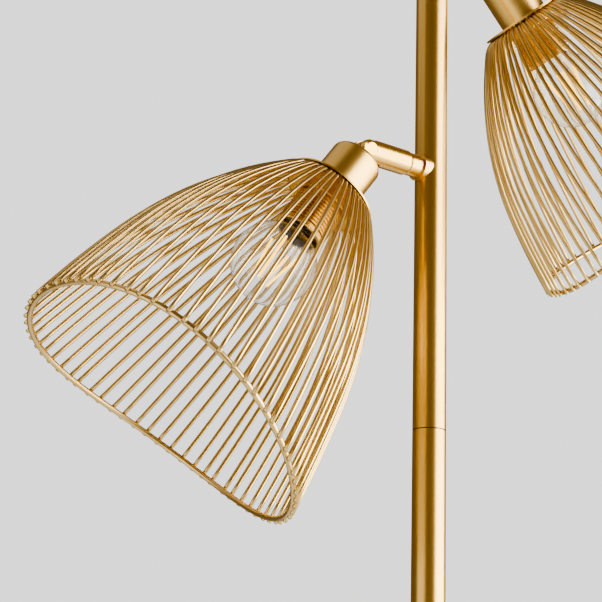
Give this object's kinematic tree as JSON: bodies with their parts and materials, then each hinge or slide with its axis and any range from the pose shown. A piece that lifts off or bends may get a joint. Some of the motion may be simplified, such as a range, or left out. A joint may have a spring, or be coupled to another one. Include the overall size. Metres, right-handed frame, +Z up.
{
  "type": "floor lamp",
  "caption": "Floor lamp with a straight pole on a round weighted base and two bell-shaped wire cage shades on short swivelling arms.",
  "frame": {"origin": "centre of the round base on the floor, on the axis of the pole", "axes": "+Z up along the pole; the low arm reaches along -X and the high arm along +X"},
  "size_m": [0.4479, 0.2816, 1.499],
  "materials": {
    "satin_gold": "satin lacquered, warm gold",
    "ring_gold": "satin turned, warm gold",
    "screw_brass": "machined",
    "cast_iron": "raw casting",
    "felt": "felt",
    "black_rubber": "matte",
    "zinc_steel": "zinc plated",
    "dark_steel": "oiled",
    "ivory_plastic": "moulded",
    "cap_metal": "rolled thread",
    "clear_glass": "clear blown glass",
    "stem_glass": "clear glass",
    "filament_yellow": "phosphor coated"
  },
  "bodies": {
    "stand": {"base_pad": "felt", "base_weight": "cast_iron", "base_cover": "satin_gold", "cord_grommet": "black_rubber", "base_stud": "zinc_steel", "base_nut": "zinc_steel", "foot_collar": "satin_gold", "lower_pole": "satin_gold", "pole_plug": "zinc_steel", "middle_pole": "satin_gold", "lower_joiner": "dark_steel", "upper_joiner": "dark_steel", "upper_pole": "satin_gold", "top_cap": "satin_gold", "low_arm_flange": "satin_gold", "low_arm_stub": "satin_gold", "low_swivel_nipple": "zinc_steel", "low_swivel_locknut": "zinc_steel", "high_arm_flange": "satin_gold", "high_arm_stub": "satin_gold", "high_swivel_nipple": "zinc_steel", "high_swivel_locknut": "zinc_steel"},
    "low_arm": {"low_barrel": "satin_gold", "low_fork": "satin_gold", "low_pivot_screw": "screw_brass", "low_pivot_nut": "screw_brass", "low_knuckle_washers": "dark_steel"},
    "low_shade": {"low_tang": "satin_gold", "low_cup": "satin_gold", "low_top_disc": "satin_gold", "low_lampholder_body": "ivory_plastic", "low_lampholder_insert": "ivory_plastic", "low_shade_ring": "ring_gold", "low_lampholder_skirt": "ring_gold", "low_cage_collar": "satin_gold", "low_cage_wires": "satin_gold", "low_cage_rim": "satin_gold", "low_bulb_cap": "cap_metal", "low_bulb_glass": "clear_glass", "low_bulb_stem": "stem_glass", "low_bulb_filaments": "filament_yellow"},
    "high_arm": {"high_barrel": "satin_gold", "high_fork": "satin_gold", "high_pivot_screw": "screw_brass", "high_pivot_nut": "screw_brass", "high_knuckle_washers": "dark_steel"},
    "high_shade": {"high_tang": "satin_gold", "high_cup": "satin_gold", "high_top_disc": "satin_gold", "high_lampholder_body": "ivory_plastic", "high_lampholder_insert": "ivory_plastic", "high_shade_ring": "ring_gold", "high_lampholder_skirt": "ring_gold", "high_cage_collar": "satin_gold", "high_cage_wires": "satin_gold", "high_cage_rim": "satin_gold", "high_bulb_cap": "cap_metal", "high_bulb_glass": "clear_glass", "high_bulb_stem": "stem_glass", "high_bulb_filaments": "filament_yellow"}
  },
  "joints": [
    {"name": "low_arm_swivel", "type": "hinge", "parent": "stand", "child": "low_arm", "pos_m": [-0.0187, 0, 1.3], "axis": [-1, 0, 0], "range_deg": [-170, 170]},
    {"name": "low_shade_tilt", "type": "hinge", "parent": "low_arm", "child": "low_shade", "pos_m": [-0.0472, 0, 1.3], "axis": [0, -0.9874, -0.1582], "range_deg": [-126, 14]},
    {"name": "high_arm_swivel", "type": "hinge", "parent": "stand", "child": "high_arm", "pos_m": [0.0187, 0, 1.444], "axis": [1, 0, 0], "range_deg": [-170, 170]},
    {"name": "high_shade_tilt", "type": "hinge", "parent": "high_arm", "child": "high_shade", "pos_m": [0.0472, 0, 1.444], "axis": [0, 0.9893, -0.1461], "range_deg": [-121, 18]}
  ]
}
